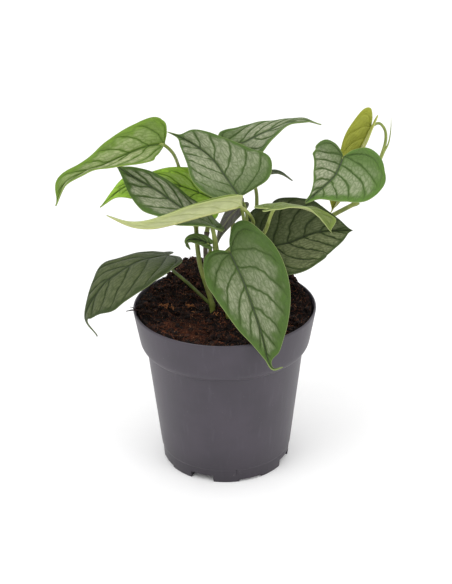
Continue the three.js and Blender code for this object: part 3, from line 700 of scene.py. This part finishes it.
def blade_piece(name, plan, top, under):
    """The blade as one closed mesh, with its vein, border and tone values on the face corners; the tones
    include its painted light and painted shade.
    """
    rows, columns = BLADE_ROWS, BLADE_COLUMNS
    ids, places, lifts, ridges = {}, [], [], []

    def spot(side, i, j):
        """The name of a grid point. The halves share the rib, and all lobe rows start at its base."""
        if i == 0 or (j == 0 and i / rows <= LOBE_SHARE):
            return "base"
        if i == rows:
            return "tip"
        return ("rib", i) if j == 0 else (side, i, j)

    grids = {side: half_blade(plan, side) for side in (1, -1)}
    for side, g in grids.items():
        off_vein = np.abs(np.mod(g["phase"] + 0.5, 1) - 0.5) * g["spacing"]
        thin = 1 - 0.5 * np.clip(g["along"], 0, 1)
        calm = np.clip(g["run"] / 4, 0, 1) * np.clip(g["edge"] / 3, 0, 1)
        quilt = plan["quilt"] * np.sin(np.pi * np.mod(g["phase"], 1)) ** 0.8 * calm
        quilt = quilt * np.clip(g["spacing"] / 5, 0, 1)
        groove = VEIN_GROOVE * np.exp(-(off_vein / 0.5) ** 2) * calm
        groove = groove + RIB_GROOVE * np.exp(-(g["y"] / 0.8) ** 2) * thin
        lift = quilt - groove
        ridge = RIB_RIDGE * np.exp(-(g["y"] / 0.9) ** 2) * thin
        ridge = ridge + VEIN_RIDGE * np.exp(-(off_vein / 0.55) ** 2) * calm
        for i in range(rows + 1):
            for j in range(columns + 1):
                key = spot(side, i, j)
                if key not in ids:
                    ids[key] = len(places)
                    places.append(g["points"][i, j])
                    lifts.append(0 if key in ("base", "tip") else lift[i, j])
                    ridges.append(0.3 if key in ("base", "tip") else ridge[i, j])

    faces, corners, rims = [], [], []
    for side in (1, -1):
        for i in range(rows):
            for j in range(columns):
                cell = [(i, j), (i + 1, j), (i + 1, j + 1), (i, j + 1)]
                kept, used = [], set()
                for c in cell:
                    k = ids[spot(side, *c)]
                    if k not in used:
                        used.add(k)
                        kept.append((k, c))
                if len(kept) < 3:
                    continue
                if side > 0:
                    kept.reverse()
                faces.append([k for k, _ in kept])
                corners.append([(side, c) for _, c in kept])
            if ids[spot(side, i, columns)] != ids[spot(side, i + 1, columns)]:
                rims.append((side, i))

    places = np.array(places)
    normals = np.zeros_like(places)
    for face in faces:
        n = np.cross(places[face[1]] - places[face[0]], places[face[2]] - places[face[0]])
        size = np.linalg.norm(n)
        if size > 1e-9:
            normals[face] += n / size
    normals /= np.linalg.norm(normals, axis=1, keepdims=True) + 1e-9
    lifts, ridges = np.array(lifts)[:, None], np.array(ridges)[:, None]
    upper = places + normals * (BLADE_THICKNESS / 2 + lifts)
    lower = places + normals * (-BLADE_THICKNESS / 2 + np.maximum(lifts, -0.1) * 0.8 - ridges)
    below = len(places)

    all_faces, all_corners, sides_of = [], [], []
    for face, corner in zip(faces, corners):
        all_faces += [face, [below + k for k in reversed(face)]]
        all_corners += [corner, list(reversed(corner))]
        sides_of += [0, 1]
    for side, i in rims:
        a, b = ids[spot(side, i, columns)], ids[spot(side, i + 1, columns)]
        ca, cb = (side, (i, columns)), (side, (i + 1, columns))
        ring, marks = [a, below + a, below + b, b], [ca, ca, cb, cb]
        if side < 0:
            ring.reverse()
            marks.reverse()
        all_faces.append(ring)
        all_corners.append(marks)
        sides_of.append(0)
    piece = mesh_piece(name, np.vstack([upper, lower]), all_faces, [top, under], sides_of)

    flat = [c for corner in all_corners for c in corner]
    tones = {1: [plan[k][1] for k in ("silver", "lime_and_painted_light", "painted_shade")],
             -1: [plan[k][0] for k in ("silver", "lime_and_painted_light", "painted_shade")]}
    layers = {"veins": lambda g, s, c: (g["phase"][c], g["spacing"][c], g["edge"][c]),
              "flat": lambda g, s, c: (g["x"][c], s * g["y"][c], g["v"][c]),
              "tone": lambda g, s, c: tones[s],
              "reach": lambda g, s, c: (g["along"][c], g["border"][c], g["run"][c])}
    for layer, values in layers.items():
        kept = piece.data.attributes.new(layer, "FLOAT_VECTOR", "CORNER")
        rows_of_three = np.array([values(grids[s], s, c) for s, c in flat], np.float32)
        kept.data.foreach_set("vector", rows_of_three.ravel())
    return piece


def blade_finish(name, tones, upper):
    """The waxy skin of a blade: sunken dark veins, a fine net, silver between, a green border, a pale
    edge line that is partly a painted glint, and painted light and painted shade.
    """
    material, tree, skin = new_skin(name)

    green, silver, vein, rib, border, edge_line_and_glint = (colour(*tone) for tone in tones[:-1])
    gloss = tones[-1]

    def layer(attribute):
        """A value kept on the blade's corners, and its three parts."""
        read = put(tree, "Attribute", attribute_name=attribute).outputs["Vector"]
        return read, put(tree, "SeparateXYZ", {0: read}).outputs

    def patches(scale, detail=3.0, rough=0.55):
        return put(tree, "TexNoise", {"Vector": flat, "Scale": scale, "Detail": detail,
                                      "Roughness": rough}).outputs["Fac"]

    def plus(one, other):
        return sums(tree, "ADD", one, other)

    def times(one, other):
        return sums(tree, "MULTIPLY", one, other)

    def less(value):
        return sums(tree, "SUBTRACT", 1, value)

    def darker(tone, by):
        return [min(1, c * by) for c in tone[:3]] + [1]

    _, (phase, spacing, edge) = layer("veins")
    flat, (_, across, out) = layer("flat")
    _, (silvered, lime_and_painted_light, painted_shade) = layer("tone")
    _, (along, border_at, run) = layer("reach")

    wander = sums(tree, "SUBTRACT", patches(0.16, 1.0), 0.5)
    veined = plus(phase, times(wander, 0.3))
    off = sums(tree, "FRACT", plus(veined, 0.5))
    off = times(sums(tree, "ABSOLUTE", sums(tree, "SUBTRACT", off, 0.5)), spacing)
    rib_off = plus(sums(tree, "ABSOLUTE", across), times(along, 0.25))
    looped = sums(tree, "COSINE", times(veined, 6.2832))
    loop = sums(tree, "ABSOLUTE", sums(tree, "SUBTRACT", edge, plus(times(looped, -0.8), 2.6)))

    bent = put(tree, "TexNoise", {"Vector": flat, "Scale": 0.35, "Detail": 2.0}).outputs["Color"]
    ladder = put(tree, "CombineXYZ", {0: times(veined, 2.3), 1: times(run, 0.42), 2: 0.0}).outputs[0]
    ladder = put(tree, "VectorMath", {0: ladder, 1: bent}, operation="ADD").outputs[0]
    net = put(tree, "TexVoronoi", {"Vector": ladder, "Scale": 1.0}, feature="DISTANCE_TO_EDGE",
              voronoi_dimensions="2D").outputs["Distance"]
    mesh_at = put(tree, "VectorMath", {0: flat, 1: (1, 1, 0)}, operation="MULTIPLY").outputs[0]
    mesh_at = put(tree, "VectorMath", {0: mesh_at, 1: bent}, operation="ADD").outputs[0]
    fine_net = put(tree, "TexVoronoi", {"Vector": mesh_at, "Scale": 0.8}, feature="DISTANCE_TO_EDGE",
                   voronoi_dimensions="2D").outputs["Distance"]
    net_line = less(share(tree, net, 0.0, 0.26))
    fine_line = less(share(tree, fine_net, 0.0, 0.3))

    vein_wide = sums(tree, "SUBTRACT", 0.8, times(out, 0.45))
    side_line = times(less(share(tree, off, 0.0, vein_wide)), less(share(tree, out, 0.75, 1.0)))
    rib_line = less(share(tree, rib_off, 0.25, 0.85))
    loop_line = times(less(share(tree, loop, 0.1, 0.7)), 0.4)
    inside = share(tree, edge, 0.5, 3.0)

    around = times(share(tree, off, 0.1, 1.3), share(tree, rib_off, 0.4, 2.2))
    worn = plus(border_at, times(wander, 1.6))
    silver_area = times(around, share(tree, worn, 0.0, 1.0))
    silver_area = times(silver_area, plus(0.1, times(share(tree, along, -0.08, 0.36), 0.9)))
    silver_area = times(silver_area, silvered)
    cloudy = share(tree, patches(0.22, 3, 0.6), 0.32, 0.6)
    silver_area = times(silver_area, plus(0.72, times(cloudy, 0.28)))
    silver_area = times(silver_area, less(times(fine_line, 0.2)))
    silver_area = times(silver_area, less(times(net_line, 0.36)))

    mottle = share(tree, patches(0.13, 2), 0.3, 0.7)
    leaf_green = tint(tree, mottle, darker(green, 0.82), green)
    # Partly the fresh leaf's own lime and partly painted light: the border green lightened up to 2.3
    # times, mixed into the blade's green by the second tone.
    border_with_painted_light = tint(tree, lime_and_painted_light, border, darker(border, 2.3))
    leaf_green = tint(tree, lime_and_painted_light, leaf_green, border_with_painted_light)
    pale_patch = tint(tree, share(tree, patches(0.5, 4, 0.7), 0.3, 0.75), darker(silver, 0.8), silver)
    base = tint(tree, silver_area, leaf_green, pale_patch)
    # The green border takes this lightened colour, so its painted light shows there too.
    base = tint(tree, times(less(share(tree, worn, -0.6, 0.8)), 0.75), base, border_with_painted_light)
    lines = times(sums(tree, "MAXIMUM", side_line, loop_line), inside)
    base = tint(tree, times(net_line, 0.2), base, vein)
    base = tint(tree, times(lines, 0.78), base, vein)
    base = tint(tree, times(rib_line, 0.85), base, rib)
    # Painted shade: each half darkens towards a deep green by the amount of its third tone.
    base = tint(tree, times(painted_shade, 0.6), base, darker(green, 0.36))
    # A pale line along the margin, partly the margin's own colour and partly a painted glint.
    base = tint(tree, times(less(share(tree, edge, 0.05, 0.28)), 0.7), base, edge_line_and_glint)

    wax = plus(gloss, times(silver_area, 0.1))
    depth = plus(times(lines, 0.5), times(net_line, 0.3))
    depth = plus(plus(depth, times(fine_line, 0.1)), times(rib_line, 0.8))
    depth = times(depth, -1 if upper else 1)
    feed(tree, skin, {"Base Color": base, "Roughness": plus(wax, times(patches(0.8), 0.1)),
                      "Specular IOR Level": 0.2, "Normal": relief(tree, depth, 0.8, 0.5)})
    return material


# Seen colours of a blade, upper side and underside: green, silver, side veins, rib, border, a pale
# edge line that is partly a painted glint, and then how rough the wax is.
LEAF_TONES = {
    "silver": (
        ((78, 102, 46), (172, 176, 148), (60, 78, 40), (74, 80, 66),
         (72, 103, 36), (138, 154, 92), 0.42),
        ((116, 118, 100), (132, 132, 120), (104, 100, 98), (138, 144, 104),
         (112, 126, 78), (140, 152, 98), 0.55)),
    "lime": (
        ((98, 126, 44), (180, 186, 142), (66, 88, 34), (70, 92, 40),
         (102, 132, 38), (146, 164, 88), 0.42),
        ((128, 144, 80), (144, 156, 100), (108, 122, 66), (154, 164, 98),
         (120, 140, 66), (142, 162, 86), 0.55)),
    "deep": (
        ((64, 82, 32), (136, 144, 102), (30, 40, 18), (46, 52, 38),
         (62, 80, 36), (104, 114, 74), 0.45),
        ((116, 112, 110), (136, 130, 134), (96, 92, 96), (126, 128, 100),
         (106, 110, 88), (118, 122, 92), 0.55)),
    "pale": (
        ((112, 130, 60), (158, 164, 114), (84, 102, 46), (120, 136, 72),
         (118, 138, 58), (176, 186, 124), 0.45),
        ((178, 185, 134), (196, 198, 156), (160, 168, 112), (192, 194, 128),
         (180, 188, 122), (206, 210, 166), 0.5)),
    "young": (
        ((152, 158, 60), (206, 208, 174), (146, 152, 56), (150, 156, 60),
         (146, 152, 50), (186, 192, 118), 0.45),
        ((196, 200, 154), (204, 208, 166), (184, 188, 138), (206, 210, 170),
         (192, 196, 148), (208, 212, 172), 0.5)),
}
FINISHES = {}
for kind, (top, under) in LEAF_TONES.items():
    FINISHES["leaf_" + kind] = (blade_finish(kind + "_leaf_top", top, True),
                                blade_finish(kind + "_leaf_under", under, False))
FINISH_OF = {
    "leaf_top_left": "leaf_lime", "leaf_left_behind": "leaf_lime", "leaf_low_left": "leaf_deep",
    "leaf_right": "leaf_deep", "leaf_back_low": "leaf_deep", "leaf_small": "leaf_deep",
    "leaf_rear_narrow": "leaf_deep", "leaf_rolled": "leaf_pale", "leaf_right_arched": "leaf_pale",
    "leaf_young": "leaf_young",
}
for node, plan in LEAVES.items():
    finish = FINISH_OF.get(node, "leaf_silver")
    blade = blade_piece(node.replace("leaf_", "blade_"), plan, *FINISHES[finish])
    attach(blade, "root")
    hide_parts(node)

# Stems and leaf stalks: five rooted stems, green and a little ribbed, with a swollen joint where
# each stalk leaves. A stalk is sheathed at its foot and runs on under its blade as the midrib.
STEM_RADIUS = 1.7
STALK_RADIUS = 1.1
STALK_SIDES = 14
UNDER_RIB = np.array([0, 4.0, 10.0])
UNDER_RIB_DROP = np.array([1.0, 0.7, 0.35])
GIRTH = {"leaf_low_left": 0.85, "leaf_young": 0.85, "leaf_left": 1.25, "leaf_rear_narrow": 0.8}
SHEATH = {"leaf_low_left": 0.2, "leaf_left": 0.7, "leaf_young": 0.3}
SHEATH_TIP = [(103, 46.5, 190), (106, 46.5, 198), (109, 48, 204), (110.2, 49, 213), (110.2, 50, 220.5)]
STEMS = {
    "stem_left": (
        [(-8, -3, 94), (-8, -3, 110), (-11, -2, 123), (-15, -1, 137), (-17, 2, 150), (-18, 13, 162)],
        {"leaf_top_left": [(-18, 13, 162), (-21.5, 23, 170), (-26, 33, 182), (-29, 35, 194),
                           (-32, 24, 207)],
         "leaf_low_left": [(-9, -3, 112), (-23, -5, 128), (-34, -6, 139.5)]}),
    "stem_middle": (
        [(-3, 5, 94), (-3, 5, 110), (-9, 5.5, 126), (-12, 8, 143), (-11, 12, 157)],
        {"leaf_left_behind": [(-11, 12, 157), (-9, 17, 166)],
         "leaf_small": [(-11.5, 7.5, 139), (-9, 2, 147)]}),
    "stem_front": (
        [(2, -7, 94), (2, -7, 110), (-2, -6, 122), (-3, -6, 138), (-2, -6, 148)],
        {"leaf_front": [(-2, -6, 146), (0, -13, 152)],
         "leaf_left": [(-3, -6, 138), (-5, -3, 150), (-6, -4, 160)],
         "leaf_rolled": [(-2, -6, 147), (8, -4, 156), (18, -5, 168), (17, -10, 177)]}),
    "stem_back": (
        [(7, 3, 94), (7, 3, 110), (8, 5, 122), (10, 6, 136)],
        {"leaf_centre": [(10, 6, 136), (12, 1, 155), (13, -1, 169)],
         "leaf_right": [(8, 5, 122), (14, 8, 132)],
         "leaf_right_arched": [(10, 6, 134), (18, -6, 152), (26, -13, 168), (29, -19, 180)],
         "leaf_rear_narrow": [(10, 6, 136), (14, 8, 152), (15, 12, 166)]}),
    "stem_right": (
        [(4, 14, 94), (4, 14, 110), (10, 17, 122), (30, 28, 138), (55, 36, 148), (74, 40, 157),
         (90, 42, 165)],
        {"leaf_top_right": [(88, 42, 164), (87, 37, 180), (80, 28, 196)],
         "leaf_young": [(89, 42, 165), (99, 44, 181), (104, 47, 194), (106.8, 48, 204), (106.8, 49, 211),
                        (104.5, 49.5, 215.5), (101.5, 49.5, 217)],
         "leaf_back": [(14, 19, 125), (20, 34, 146), (22, 39, 163), (21, 41, 177), (14, 47, 190)],
         "leaf_back_low": [(5, 15, 114), (5, 22, 140), (7, 24, 168)]}),
}


def stalk_finish(name, light, dark, blush):
    """Smooth green skin with fine lengthwise ribs, paler and redder in places."""
    material, tree, skin = new_skin(name)
    spot = put(tree, "TexCoord").outputs["Object"]
    base = tint(tree, share(tree, grain(tree, spot, 9), 0.35, 0.65), dark, light)
    blushing = share(tree, grain(tree, spot, 16, 2), 0.52, 0.7)
    base = tint(tree, sums(tree, "MULTIPLY", blushing, 0.4), base, blush)
    flecks = share(tree, grain(tree, spot, 0.7, 2), 0.68, 0.75)
    base = tint(tree, sums(tree, "MULTIPLY", flecks, 0.4), base, colour(168, 176, 120))
    rough = sums(tree, "ADD", 0.38, sums(tree, "MULTIPLY", grain(tree, spot, 2), 0.2))
    stretched = put(tree, "Mapping", {"Vector": spot, "Scale": (1, 1, 0.1)}).outputs[0]
    ribs = grain(tree, stretched, 0.5, 2)
    feed(tree, skin, {"Base Color": base, "Roughness": rough,
                      "Normal": relief(tree, ribs, 0.35, 0.3)})
    return material


stem_skin = stalk_finish("stem_skin", colour(124, 135, 56), colour(96, 109, 40), colour(114, 112, 54))
brown_skin = stalk_finish("brown_stem_skin", colour(104, 92, 72), colour(78, 66, 56), colour(96, 104, 60))
stalk_skin = stalk_finish("stalk_skin", colour(146, 158, 84), colour(118, 132, 56), colour(140, 138, 88))
dark_skin = stalk_finish("dark_stalk_skin", colour(90, 106, 38), colour(68, 84, 28), colour(84, 82, 42))


def stalk_path(points, steps):
    return smooth_curve(points, np.linspace(0, 1, steps))


for node, (stem, stalks) in STEMS.items():
    points, faces, skins = [], [], []
    path = stalk_path(stem, 12 * len(stem))
    joints = np.array([via[0] for via in stalks.values()], float)
    swell = np.exp(-(np.linalg.norm(path[:, None] - joints[None], axis=2).min(1) / 1.7) ** 2)
    taper = np.linspace(1.08, 0.86, len(path))
    add_tube(points, faces, path, STEM_RADIUS * taper + 0.55 * swell, STALK_SIDES)
    skins += [1 if node == "stem_middle" else 0] * (len(faces) - len(skins))
    for target, via in stalks.items():
        place, _, up, _ = rib_frame(LEAVES[target], UNDER_RIB)
        under_rib = place - up * UNDER_RIB_DROP[:, None]
        path = stalk_path(list(via) + [tuple(p) for p in under_rib], 10 * (len(via) + 3))
        s = np.linspace(0, 1, len(path))
        sheath = SHEATH.get(target, 0.45) * np.clip(1 - s / 0.45, 0, 1) ** 0.7
        tail = np.clip((s - (len(via) - 0.2) / (len(via) + 2)) * 5, 0, 1)
        girth = STALK_RADIUS * GIRTH.get(target, 1)
        add_tube(points, faces, path, girth * (1 + sheath) * (1 - 0.75 * tail), STALK_SIDES)
        skins += [3 if target in ("leaf_low_left", "leaf_front") else 2] * (len(faces) - len(skins))
    if node == "stem_right":
        path = stalk_path(SHEATH_TIP, 30)
        add_tube(points, faces, path, np.linspace(0.9, 0.12, 30), STALK_SIDES)
        skins += [2] * (len(faces) - len(skins))
    stalk = mesh_piece(node.replace("stem_", "stems_"), points, faces,
                       [stem_skin, brown_skin, stalk_skin, dark_skin], skins)
    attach(stalk, "root")
    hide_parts(node)

# Floor: a wide sheet of plain pale paper that the pot stands on.
# It is part of the studio and not of the plant.
bpy.ops.mesh.primitive_plane_add(size=6)
floor = bpy.context.object
floor.name = "floor"
paper, tree, skin = new_skin("floor_paper")
spot = put(tree, "TexCoord").outputs["Object"]
white = tint(tree, grain(tree, spot, 40), colour(252, 252, 252), colour(255, 255, 255))
feed(tree, skin, {"Base Color": white, "Roughness": 0.9})
floor.data.materials.append(paper)

# Light: a large soft box above and to the left, a weaker one at the right, and white walls all
# round, which throw most of the light.
WALL_LIGHT = 1.08
world = bpy.data.worlds.new("white_walls")
bpy.context.scene.world = world
world.use_nodes = True
world.node_tree.nodes["Background"].inputs["Color"].default_value = (1, 1, 1, 1)
world.node_tree.nodes["Background"].inputs["Strength"].default_value = WALL_LIGHT


def soft_box(name, place, size, watts):
    lamp = bpy.data.lights.new(name, "AREA")
    lamp.shape = "DISK"
    lamp.size = size
    lamp.energy = watts
    box = bpy.data.objects.new(name, lamp)
    box.location = place
    box.rotation_euler = (Vector((0, 0, 0.12)) - Vector(place)).to_track_quat("-Z", "Y").to_euler()
    bpy.context.scene.collection.objects.link(box)


soft_box("soft_box_left", (-0.8, -0.7, 1.3), 0.9, 6)
soft_box("soft_box_right", (1.0, -0.8, 0.9), 0.8, 3.5)

# Camera: an 85 mm lens, 0.9 m away and looking down at the plant, as a person does who stands
# at the table.
LENS = 85
FRAME_HEIGHT = 36
ELEVATION = math.radians(25.6)
DISTANCE = 0.9
TARGET = Vector((0.001, 0, 0.1195))
ROLL = -0.011
camera_data = bpy.data.cameras.new("camera")
camera_data.lens = LENS
camera_data.sensor_fit = "VERTICAL"
camera_data.sensor_height = FRAME_HEIGHT
camera = bpy.data.objects.new("camera", camera_data)
bpy.context.scene.collection.objects.link(camera)
camera.location = TARGET + Vector((0, -DISTANCE * math.cos(ELEVATION), DISTANCE * math.sin(ELEVATION)))
camera.rotation_euler = (TARGET - camera.location).to_track_quat("-Z", "Y").to_euler()
camera.rotation_euler.rotate_axis("Z", ROLL)
bpy.context.scene.camera = camera
bpy.context.scene.view_settings.view_transform = "Standard"
